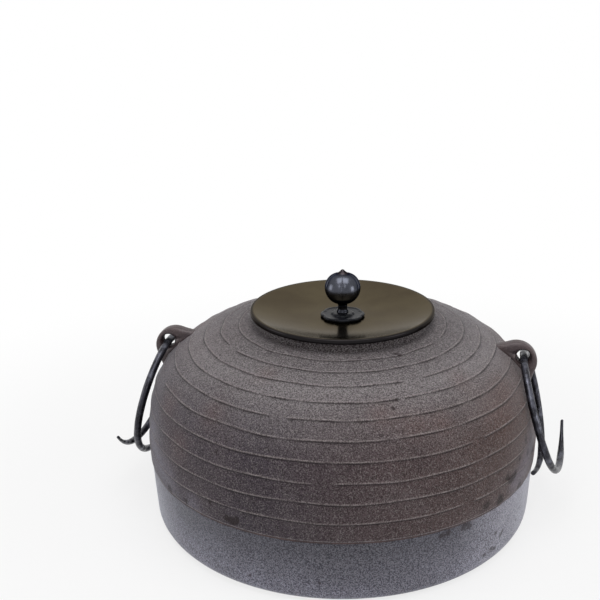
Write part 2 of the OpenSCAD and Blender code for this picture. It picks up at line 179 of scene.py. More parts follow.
def surface(name, grid, loop=False, fans=2, marks=None):
    """Mesh on a grid of points in millimetres. Columns close round. Rows close round too where
    loop is set, and otherwise the first row, and the last with two fans, end in a fan on their middle.
    Marks are values stored on the points, by name."""
    rows, cols = grid.shape[:2]
    index = np.arange(rows * cols).reshape(rows, cols)
    low, high = (index, np.roll(index, -1, 0)) if loop else (index[:-1], index[1:])
    faces = np.stack([low, np.roll(low, -1, 1), np.roll(high, -1, 1), high], -1).reshape(-1, 4).tolist()
    points = grid.reshape(-1, 3)
    if not loop:
        points = np.concatenate([points, grid[[0, -1]].mean(1)[:fans]])
        first, last = index[0], index[-1]
        hub = np.full(cols, rows * cols)
        faces += np.stack([hub, np.roll(first, -1), first], -1).tolist()
        faces += np.stack([hub + 1, last, np.roll(last, -1)], -1).tolist()[:cols * (fans - 1)]
    mesh = bpy.data.meshes.new(name)
    mesh.from_pydata((points * MM).tolist(), [], faces)
    mesh.polygons.foreach_set("use_smooth", np.ones(len(faces), bool))
    for mark, value in (marks or {}).items():
        flat = np.zeros(len(points), np.float32)
        flat[:rows * cols] = np.broadcast_to(value, (rows, cols)).ravel()
        mesh.attributes.new(mark, "FLOAT", "POINT").data.foreach_set("value", flat)
    mesh.update()
    piece = bpy.data.objects.new(name, mesh)
    bpy.context.scene.collection.objects.link(piece)
    return piece


# Places where a raised line has worn or broken off: line from the seam up, turn from the front to
# the right in degrees, and half the length of the gap in degrees.
LINE_GAPS = [(7, 26.8, 4.9), (6, 19, 1.6), (5, -18.8, 2.6), (2, -4.8, 3.6), (3, 38.8, 2.2),
             (0, 34, 2), (8, -58.5, 4), (4, -72.5, 2.5), (1, 97, 3), (6, 131, 4.5),
             (3, 163, 3), (7, -140, 3.5), (0, -118, 2.6), (9, 59.5, 5), (5, 84, 1.8)]
# Smoke and rust stains: turn from the front in degrees, distance up the wall, and their spread in mm.
SHELL_STAINS = [(61.8, 28, 3.5), (63, 18.5, 4), (69, 14, 4), (56.5, 21, 3), (53.5, 13, 4), (51, 12, 3.5),
                (49, 15.5, 3), (57, 1, 4), (47, 1, 4), (46, 4, 3.5), (40.5, 5, 4.5), (-46, 2.5, 3),
                (-36, 11, 2.5), (-35, 43.5, 2), (-30.5, 4, 3.5), (-28.5, 3, 3), (-27.5, 6, 2.5),
                (-43, 19.5, 2.5), (-54.5, 2, 4.5), (29, 121.5, 2.2), (30, 119, 2.2), (9, 122.5, 2.2),
                (17.8, 83, 2), (15.5, 78, 2), (138, 30, 3), (141, 27, 2.5), (163, 11, 3.5), (167, 14, 3),
                (170, 9, 2.5), (-150, 20, 3), (-147, 17, 2.5), (-120, 44, 2.5), (112, 10, 3.5),
                (115, 7, 2.5), (-98, 8, 3), (-101, 5, 2.5), (-172, 88, 2.2), (151, 96, 2)]
# Rust-brown clouds, given in the same way.
SHELL_RUST = [(11.5, 75, 9), (20.5, 66, 9), (29, 64, 8), (44.5, 85, 9), (49.5, 56, 14), (59, 66.5, 12),
              (72, 40, 14), (-50, 36.5, 11), (-61, 53, 12), (-40.5, 63.5, 10), (-30.5, 98.5, 7),
              (100, 70, 16), (135, 48, 18), (178, 66, 16), (-138, 58, 16), (-105, 84, 12)]
# Painted sheen: pale, bluish places on the two flanks above the seam that stand in for the white room's
# reflection at grazing angles, given in the same way.
SHELL_PAINTED_SHEEN = [(-70, 24, 14), (-62, 12, 12), (-54, 8, 11), (-43, 3, 8), (67, 20, 12), (60, 11, 10),
              (54, 7, 8)]
# Stains of the pan, with their height in place of the distance up the wall.
PAN_STAINS = [(33, 40, 3.5), (35, 39.5, 3), (28, 40, 3.5), (26, 39, 2.5), (46.5, 22.5, 2.5), (50, 20, 2.2),
              (49, 17, 2), (58.5, 18, 2), (60.5, 25, 2), (65, 16.5, 2), (42, 11, 2.5), (45, 12, 3),
              (47, 11, 2), (30, 23, 1.6), (-23.5, 27, 1.6), (-25, 12, 2), (-6, 15, 1.6), (120, 25, 2.5),
              (122, 21, 2), (168, 18, 3), (171, 22, 2), (174, 15, 2), (-140, 26, 2.5), (-137, 30, 2)]


def stains(spots, angle, s, r):
    """Soft round marks on a wall of radius r: the sum of bell curves of distance from each spot."""
    turn, up, spread = np.array(spots, float).T
    across = from_front(angle[None, :, None], turn) * r[..., None]
    away = (across ** 2 + (s[..., None] - up) ** 2) / spread ** 2
    return np.clip(np.exp(-away).sum(-1), 0, 1)


def raised_lines(angle):
    """Raised lines of the shell, at rows up the wall that lie close together across each line: for each
    row and turn the distance up the wall, the share of a line's height there, and the share of painted
    shade under it, which stands in for each line's shadow. A line is a squared cosine, steeper on its lower
    side, and the painted shade is a bell curve.
    Lines wander and thin round the kettle by sums of sine waves, and break at the gaps."""
    middle = LINE_FIRST + LINE_PITCH * np.arange(LINE_COUNT)
    across = np.array([-1.3, -0.95, -0.72, -0.5, -0.25, 0.0, 0.35, 0.75, 1.15])
    fifths = np.arange(1, 5) / 5
    between = middle[:-1, None] + across[-1] + fifths * (LINE_PITCH - np.ptp(across))
    s = np.sort(np.concatenate([
        [0, 0.6], np.linspace(1.6, LINE_FIRST - 1.9, 6), (middle[:, None] + across).ravel(),
        between.ravel(), np.linspace(middle[-1] + 2.4, LEN_FOOT, 6)]))
    stray, thinning = 0.3, 0.2
    wander = stray * np.stack([ripple(angle, 20 + k, 2, 17) for k in range(LINE_COUNT)])
    keep = 1 - thinning + thinning * np.stack([ripple(angle, 50 + k, 5, 40) for k in range(LINE_COUNT)])
    for line, turn, half in LINE_GAPS:
        away = np.abs(from_front(angle, turn))
        keep[line] *= ease(away, np.radians(half * 0.6), np.radians(half * 1.25))
    share = np.clip(1 - np.abs(s[:, None] - middle) / LINE_PITCH, 0, 1)
    at = s[:, None] + share @ wander
    off = at[:, None, :] - (middle[:, None] + wander)[None]
    lower_side, upper_side = 0.75, 1.1
    half_turn = np.clip(off / np.where(off < 0, lower_side, upper_side), -1, 1) * np.pi / 2
    crest = (np.cos(half_turn) ** 2 * np.clip(keep, 0, 1.1)[None]).max(1)
    # Painted shade under each line: how far below its middle the dark band lies, and its spread, in mm.
    shade_down, shade_spread = 0.8, 0.5
    below = (np.exp(-((off + shade_down) / shade_spread) ** 2) * np.clip(keep, 0, 1)[None]).max(1)
    return at, crest, below


def shell_casting():
    """Shell: the wall's curve turned round and pushed out along its normal by the raised lines, and by
    slow waves that die away at the seam and the mouth. The rim and the inside close the section."""
    angle = turns(480)
    at, crest, below = raised_lines(angle)
    r, z, slope = wall(at)
    free = ease(at, 0.5, 8) * (1 - ease(at, 112, 124))
    wave_h, long_wave, short_wave = 0.16, 23, 9
    waves = (ripple(angle, 3, 2, 9)[None] * np.sin(at / long_wave)
             + ripple(angle, 4, 8, 24)[None] * np.sin(at / short_wave + 1))
    high = LINE_H * crest + wave_h * free * waves
    r, z = r + high * np.sin(slope), z - high * np.cos(slope)
    in_r, in_z, in_slope = wall(np.linspace(LEN_RIM, 0, 30))
    inner = np.stack([in_r - WALL * np.sin(in_slope), in_z + WALL * np.cos(in_slope)], -1)
    rim = rounded([(RIM_R, RIM_FOOT_Z, 0.5), (RIM_R, RIM_Z, 0.9), (MOUTH_R, RIM_Z, 0.9),
                   (MOUTH_R, inner[0, 1], 0.9), (*inner[1], 0.5)], False)[:-1]
    rest = spun(np.concatenate([filled(rim, 2.5), inner[1:]]), len(angle))
    # Marks for the finish: the crest, whose coat is a painted highlight, the painted shade below each line,
    # stains, rust, and the pale painted sheen on the flanks.
    marks = {"crest": crest, "below": below, "stain": stains(SHELL_STAINS, angle, at, r),
             "rust": stains(SHELL_RUST, angle, at, r), "pale": stains(SHELL_PAINTED_SHEEN, angle, at, r)}
    bare = np.zeros(rest.shape[:2])
    return surface("shell_casting", np.concatenate([turned(r, z, angle), rest]), loop=True,
                   marks={mark: np.concatenate([value, bare]) for mark, value in marks.items()})


def pan_casting():
    """Pan: its floor, rounded edge, wall and tongue turned round, with slow waves of a tenth of a
    millimetre or two on the wall."""
    hub_r = 2 * HUB_R
    thick_z = LEDGE_Z - 2 * TONGUE_T
    thin_z = thick_z - 2 * PAN_WALL
    drawn_in = 0.85    # how much the wall has drawn in where it grows thin
    line = rounded([
        (hub_r, 0, 0), (PAN_R - PAN_TAPER, 0, BASE_CORNER), (PAN_R, LEDGE_Z, 0.45),
        (TONGUE_R, LEDGE_Z, 0.2), (TONGUE_R, TONGUE_Z, 0.4), (TONGUE_R - TONGUE_T, TONGUE_Z, 0.4),
        (TONGUE_R - TONGUE_T, thick_z, 2), (PAN_R - PAN_WALL - drawn_in, thin_z, 2),
        (PAN_R - PAN_TAPER - PAN_WALL, PAN_WALL, BASE_CORNER - PAN_WALL), (hub_r, PAN_WALL, 0)],
        False, steps=9)
    foot, brim = np.argmax(line[:, 0] > PAN_R - 6), np.argmax(line[:, 1] > LEDGE_Z - 0.9)
    outside = filled(line[foot:brim + 1], 1.2)[:-1]
    line = np.concatenate([filled(line[:foot], 6), outside, filled(line[brim:], 5)])
    angle = turns(600)
    r, z = line[:, :1], line[:, 1:]
    side = ease(r, PAN_R - 10, PAN_R - 3) * (1 - ease(z, 34, 41)) * ease(z, 3, 10)
    long_waves = 0.14 * ripple(angle, 31, 3, 11)[None]
    short_waves = 0.08 * ripple(angle, 32, 12, 36)[None] * np.sin(z / 6)
    r = r - np.abs(side * (long_waves + short_waves))
    stain = stains(PAN_STAINS, angle, z + 0 * angle, r) * ease(r, PAN_R - 14, PAN_R - 6)
    return surface("pan_casting", turned(r, z, angle), marks={"stain": stain})


def seam_bead():
    """Lacquer: a thin film behind, and a bead between the castings that is squeezed out unevenly,
    by a sum of sine waves round the kettle."""
    bulge = 0.45
    line = rounded([
        (TONGUE_R, LEDGE_Z, 0.15), (PAN_R, LEDGE_Z, 0.3), (PAN_R + bulge, (LEDGE_Z + SEAM_Z) / 2, 0.6),
        (PAN_R, SEAM_Z, 0.3), (TONGUE_R + FILM, SEAM_Z, 0.15), (TONGUE_R + FILM, TONGUE_Z, 0.15),
        (TONGUE_R, TONGUE_Z, 0.15)], True)
    angle = turns(420)
    r, z = line[:, :1], line[:, 1:]
    out = ease(r, PAN_R - 0.15, PAN_R + 0.25)
    r = r + out * (0.1 + 0.16 * ripple(angle, 41, 6, 60, 14)[None])
    return surface("seam_bead", turned(r, z, angle), loop=True)


def lug_frame():
    """Foot of the lug on the wall, and the directions along the wall and straight out of it."""
    r, z, slope = wall(LUG_S)
    out = np.array([np.sin(slope), 0, -np.cos(slope)])
    along = np.array([out[2], 0, -out[0]])
    return np.array([r, 0, z]), along, out


def lug_ear(name, side):
    """Lug: a rounded section carried round the hole, from the hole's edge to the ear's outline. The
    outline is the blend of a small disc and a long low one, and goes a little way into the wall, which
    is taken as a parabola there. The thickness is that of a lens, and the section is a superellipse, so
    all edges are soft."""
    spot, along, out = lug_frame()
    around = turns(168)
    dx, dz = np.cos(around), np.sin(around)

    def reach(height, radius):
        """Distance from the hole's middle to the edge of a disc of that height and radius."""
        lean = (EYE_H - height) * dz
        return -lean + np.sqrt(np.maximum(lean ** 2 - (EYE_H - height) ** 2 + radius ** 2, 0))

    blend, far, sunk = 9, 99, 1.4
    ear, foot = reach(0, EAR_R), 0.97 * reach(FOOT_H - FOOT_R, FOOT_R)
    outline = (ear ** blend + foot ** blend) ** (1 / blend)
    bow, depth = dx ** 2 / (2 * ARC_R[1]), EYE_H + sunk
    under = np.where(dz < 0, dz ** 2 - 4 * bow * depth, -1)
    inside = np.where(under > 0, 2 * depth / (-dz + np.sqrt(np.maximum(under, 0)) + 1e-9), far)
    outline = np.minimum(outline, inside)
    section = turns(44)[:, None]
    across, thick = np.cos(section), np.sin(section)
    power = np.where(across > 0, 0.5, 0.8)
    across, thick = np.sign(across) * np.abs(across) ** power, np.sign(thick) * np.abs(thick) ** power
    rho = EYE_R + (outline - EYE_R) / 2 * (1 + across)
    px, pz = rho * dx, EYE_H + rho * dz
    py = -thick * (np.sqrt(DOME_R ** 2 - px ** 2 - np.maximum(pz, 0) ** 2) - DOME_R + LUG_HALF)
    grid = spot + px[..., None] * along + pz[..., None] * out + py[..., None] * np.array([0, 1, 0])
    return surface(name, grid * [side, side, 1], loop=True)


def lug_tenon(name, side):
    """Hammered inner end of a lug: a short round peg with a soft domed head, turned round the lug's
    axis."""
    spot, along, out = lug_frame()
    line = rounded([(HUB_R, -5.0, 0), (TENON_R - 1.1, -4.8, 1.0), (TENON_R, -3.4, 0.8),
                    (TENON_R, -1.0, 0.3), (HUB_R, -1.0, 0)], False)
    flat = spun(line, 40)
    grid = spot + flat[..., :1] * along + flat[..., 1:2] * np.array([0, 1, 0]) + flat[..., 2:] * out
    return surface(name, grid * [side, side, 1])


def ring_lean(eye, twist):
    """Lean at which a ring that hangs in a hole at the eye, turned by the twist, rests its inner end on
    the pan. It is the arc sine of how far out the pan holds that end over the end's distance from the
    hole, plus the angle at which the end stands in. A second pass takes the pan's radius at that height."""
    sideways, down = RING_R * np.sin(INNER_TURN), HANG + RING_R * (1 - np.cos(INNER_TURN))
    stand_in = INNER_SPLAY * np.cos(twist) - sideways * np.sin(twist)
    sideways = sideways * np.cos(twist) + INNER_SPLAY * np.sin(twist)
    pan_r = PAN_R
    for _ in range(2):
        held = np.sqrt((pan_r + INNER_TIP + RING_GAP) ** 2 - sideways ** 2) - eye[0]
        lean = np.arcsin(held / np.hypot(down, stand_in)) + np.arctan2(stand_in, down)
        end_z = eye[2] - down * np.cos(lean) - stand_in * np.sin(lean)
        pan_r = PAN_R - PAN_TAPER * (LEDGE_Z - end_z) / (LEDGE_Z - BASE_CORNER)
    return lean


def ring_wire(name, side, seed, twist):
    """Ring: a round section carried along an open circle whose ends leave its plane by a power of the
    turn. The wire thins smoothly to its ends, where half circles close it, and its section is
    hammered: a little square, with slow changes of thickness along it. The ring is turned by the twist
    in its lug and then leans out from the wall."""
    spot, _, out = lug_frame()
    eye = spot + EYE_H * out
    lean = ring_lean(eye, twist)
    t = np.linspace(-OUTER_TURN, INNER_TURN, 420)
    r = np.where(t > 0, WIRE_R + (INNER_TIP - WIRE_R) * ease(t, INNER_TURN - TAPER_TURN, INNER_TURN),
                 WIRE_R + (OUTER_TIP - WIRE_R) * ease(-t, OUTER_TURN - TAPER_TURN, OUTER_TURN))
    dome = np.radians(np.linspace(12, 86, 7))
    t = np.concatenate([-OUTER_TURN - OUTER_TIP * np.sin(dome[::-1]) / RING_R, t,
                        INNER_TURN + INNER_TIP * np.sin(dome) / RING_R])
    r = np.concatenate([OUTER_TIP * np.cos(dome[::-1]), r, INNER_TIP * np.cos(dome)])
    splay = np.where(t > 0, -INNER_SPLAY * np.abs(t / INNER_TURN) ** SPLAY_POWER,
                     OUTER_SPLAY * np.abs(t / OUTER_TURN) ** SPLAY_POWER)
    around = turns(36)[None, :]
    hammered = 0.02 * ease(np.abs(t), 0.25, 0.7)[:, None]    # none where the wire lies in the lug
    blows = np.random.default_rng(seed).uniform(-1, 1, 60)
    blow = np.interp(t, np.linspace(-4.5, 4.0, len(blows)), blows)[:, None]
    r = r[:, None] * (1 - hammered * (1 - np.cos(4 * around + 0.6) + 1 + blow))
    t, splay = t[:, None], splay[:, None]
    from_middle = RING_R + r * np.cos(around)
    x, y = splay + r * np.sin(around), from_middle * np.sin(t)
    z = -HANG - RING_R + from_middle * np.cos(t)
    x, y = np.cos(twist) * x + np.sin(twist) * y, np.cos(twist) * y - np.sin(twist) * x
    x, z = np.cos(lean) * x - np.sin(lean) * z, np.sin(lean) * x + np.cos(lean) * z
    grid = eye + np.stack([x, y, z], -1)
    return surface(name, grid * [side, side, 1])


def lid_dish():
    """Lid: the dish's parabola, the brim, the rounded edge and the ring below, turned round."""
    flat_r, dish_r, in_r = 17.0, LID_R - LID_EDGE - BRIM_W, FLANGE_R - FLANGE_T

    def dished(r, z):
        """Profile over radii r: the height z of the level middle plus the dish's rise, a parabola."""
        return np.stack([r, z + LID_DISH * ((r - flat_r) / (dish_r - flat_r)) ** 2], -1)

    top = dished(np.linspace(flat_r, dish_r, 42), SEAT_Z)
    under = dished(np.linspace(in_r, flat_r, 20), SEAT_Z - LID_T)
    flange_z = RIM_Z - FLANGE_H
    edge = rounded([
        (*top[-2], 0.3), (dish_r, TOP_Z, 0.4), (LID_R, TOP_Z, LID_EDGE), (LID_R, RIM_Z, LID_EDGE),
        (FLANGE_R, RIM_Z, 0.3), (FLANGE_R, flange_z, 0.5), (in_r, flange_z, 0.5), (*under[1], 0.3)],
        False, steps=8)[1:-1]
    level = np.linspace([4, SEAT_Z], [16, SEAT_Z], 6)
    line = np.concatenate([[[STEM_HOLE, SEAT_Z]], level, top[:-1], filled(edge, 2.0), under[1:],
                           [[STEM_HOLE, SEAT_Z - LID_T]]])
    return surface("lid_dish", spun(line[::-1], 360), loop=True)


def knob_bud():
    """Knob: a turned profile of stem, neck, bud and stepped point. The bud is an ellipsoid whose radius
    is drawn in at five grooves, by a power of the sine of five half turns."""
    groove_at = FRONT - np.radians(2)
    angle = turns(360)
    tilt = np.linspace(np.pi - 0.36, 0.36, 90)
    fullness = np.where(np.cos(tilt) > 0, 0.8, 0.94)
    bud = np.stack([BUD_R * np.sin(tilt) ** fullness, BUD_Z + BUD_HALF * np.cos(tilt)], -1)
    stem = rounded([
        (HUB_R, UNDER_Z - PEEN_H, 0), (2.6, UNDER_Z - PEEN_H, 0.6), (4.2, UNDER_Z, 0.25),
        (STEM_R, UNDER_Z, 0.15), (STEM_R, NECK_Z, 0.15), (NECK_R + 0.85, NECK_Z, 0.25),
        (NECK_R + 0.65, NECK_Z + 0.9, 0.5), (NECK_R - 0.05, NECK_Z + 2.0, 0.8),
        (NECK_R - 0.1, NECK_Z + 4.4, 1.0), (NECK_R + 0.2, NECK_Z + 5.8, 0.5), (*bud[0], 0.3)],
        False)[:-1]
    top = BUD_Z + BUD_HALF
    point = rounded([
        (*bud[-1], 0.3), (4.1, top - 0.45, 0.4), (3.0, top + 0.1, 0.4), (2.3, top + 0.8, 0.3),
        (1.75, top + 1.05, 0.2), (1.4, top + 1.6, 0.25), (0.8, top + 2.2, 0.25), (0.08, top + POINT_H, 0)],
        False)[1:]
    line = np.concatenate([filled(stem, 1.0), bud, point])
    r, z = line[:, :1], line[:, 1:]
    height = (z - BUD_Z) / BUD_HALF
    lobe = np.abs(np.sin(BUD_PETALS / 2 * (angle - groove_at)))
    side_depth, top_depth = 0.09, 0.012
    groove = side_depth * ease(height, -1.0, -0.1) * (1 - ease(height, 0.97, 1.03))
    groove = groove + top_depth * ease(height, 0.3, 0.9)
    r = r * (1 - groove * (1 - lobe ** 0.5))
    return surface("knob_bud", turned(r, z, angle))


def knob_flower_seat():
    """Seat: a section turned round with its radius times an eight-petal outline. The outline is a power
    of the cosine of eight half turns, and fades to round at the stem."""
    angle = turns(320)
    petal = np.abs(np.cos(SEAT_PETALS / 2 * (angle - FRONT)))
    notch = 0.085 * (1 - petal ** 0.55)
    line = rounded([
        (STEM_HOLE, 0, 0.1), (SEAT_R - 0.8, 0, 0.5), (SEAT_R, 0.9, 0.5), (SEAT_R - 0.3, SEAT_T - 0.2, 0.5),
        (SEAT_R - 1.6, SEAT_T, 0.5), (SEAT_R - 2.8, 1.75, 0.5), (BOSS_R + 1.1, 1.6, 0.5),
        (BOSS_R + 0.5, 1.75, 0.2), (BOSS_R, SEAT_T + 0.4, 0.3), (BOSS_R - 0.9, SEAT_T + BOSS_H, 0.3),
        (STEM_HOLE, SEAT_T + BOSS_H, 0.1)], True)
    line = filled(np.concatenate([line, line[:1]]), 0.9)[:-1]
    r, z = line[:, :1], SEAT_Z + line[:, 1:]
    r = r * (1 - notch * ease(r, 3.2, 6.5))
    return surface("knob_flower_seat", turned(r, z, angle), loop=True)


def colour(code):
    """Linear colour of an sRGB hex value."""
    c = np.array([int(code[k:k + 2], 16) for k in (1, 3, 5)]) / 255
    c = np.where(c <= 0.04045, c / 12.92, ((c + 0.055) / 1.055) ** 2.4)
    return (*c.tolist(), 1.0)


def per_mm(size):
    """Scale of a pattern on Object coordinates, in metres, whose features are that many mm."""
    return 1000 / size


def add(tree, kind, inputs=None, **settings):
    """Adds a node: settings are its own values, and inputs its sockets, each by name or number with a
    plain value or the output that is linked to it. Returns its outputs."""
    node = tree.nodes.new(kind)
    for name, value in settings.items():
        setattr(node, name, value)
    for key, value in (inputs or {}).items():
        if isinstance(value, bpy.types.NodeSocket):
            tree.links.new(value, node.inputs[key])
        else:
            node.inputs[key].default_value = value
    return node.outputs


def blank_tree(owner):
    """Empty node tree of a material or a world."""
    owner.use_nodes = True
    owner.node_tree.nodes.clear()
    return owner.node_tree


def pattern_values(tree, patterns):
    """Values over a surface, by name: noise or cells of a size in mm, the noise with detail and
    roughness, a mark stored on the mesh, the product of two others, the distance from the axis, or
    rings of noise round it. The places x and z and the distance from the axis are in metres."""
    at = add(tree, "ShaderNodeTexCoord")["Object"]
    place = add(tree, "ShaderNodeSeparateXYZ", {0: at})
    flat = add(tree, "ShaderNodeCombineXYZ", {0: place["X"], 1: place["Y"]})[0]
    value = {"x": place["X"], "z": place["Z"]}
    for key, (kind, *what) in patterns.items():
        if kind == "noise":
            value[key] = add(tree, "ShaderNodeTexNoise", {
                "Vector": at, "Scale": per_mm(what[0]), "Detail": what[1], "Roughness": what[2]})[0]
        elif kind == "cells":
            value[key] = add(tree, "ShaderNodeTexVoronoi", {"Vector": at, "Scale": per_mm(what[0])},
                             feature="SMOOTH_F1")["Distance"]
        elif kind == "mark":
            value[key] = add(tree, "ShaderNodeAttribute", attribute_name=key)["Fac"]
        elif kind == "times":
            value[key] = add(tree, "ShaderNodeMath", {0: value[what[0]], 1: value[what[1]]},
                             operation="MULTIPLY")[0]
        elif kind == "radius":
            value[key] = add(tree, "ShaderNodeVectorMath", {0: flat}, operation="LENGTH")["Value"]
        elif kind == "rings":
            value[key] = add(tree, "ShaderNodeTexNoise", {
                "W": value["radius"], "Scale": per_mm(what[0]), "Detail": what[1]},
                noise_dimensions="1D")[0]
    return value


def finish(name, patterns, base, coats, rough, bumps, shader):
    """Material from a recipe of patterns. Coats lay colours over the base, each where its pattern goes
    from one value to another, up to a share, and may multiply instead of covering. Rough maps a pattern
    to roughness, and bumps raise the surface by patterns, each with a strength and a height in mm.
    Shader holds the values that are the same all over."""
    material = bpy.data.materials.new(name)
    tree = blank_tree(material)
    value = pattern_values(tree, patterns)
    tone = colour(base)
    for key, start, end, most, code, *mode in coats:
        share = add(tree, "ShaderNodeMapRange", {
            "Value": value[key], "From Min": start, "From Max": end, "To Max": most})[0]
        tone = add(tree, "ShaderNodeMix", {0: share, 6: tone, 7: colour(code)},
                   data_type="RGBA", blend_type=mode[0] if mode else "MIX")[2]
    key, start, end, low, high = rough
    dull = add(tree, "ShaderNodeMapRange", {
        "Value": value[key], "From Min": start, "From Max": end, "To Min": low, "To Max": high})[0]
    inputs = {"Base Color": tone, "Roughness": dull, **shader}
    for key, strength, height in bumps:
        rise = {"Strength": strength, "Distance": height * MM, "Height": value[key]}
        if "Normal" in inputs:
            rise["Normal"] = inputs["Normal"]
        inputs["Normal"] = add(tree, "ShaderNodeBump", rise)[0]
    skin = add(tree, "ShaderNodeBsdfPrincipled", inputs)[0]
    add(tree, "ShaderNodeOutputMaterial", {"Surface": skin})
    return material


# Stains are broken up by noise of a few millimetres.
STAIN_BREAK = {"stain": ("mark",), "broken": ("noise", 2.4, 3.0, 0.7), "spot": ("times", "stain", "broken")}
# Sheen of a skin of fine grit, a little blue.
GRIT_SHEEN = (0.9, 0.92, 1.0, 1.0)
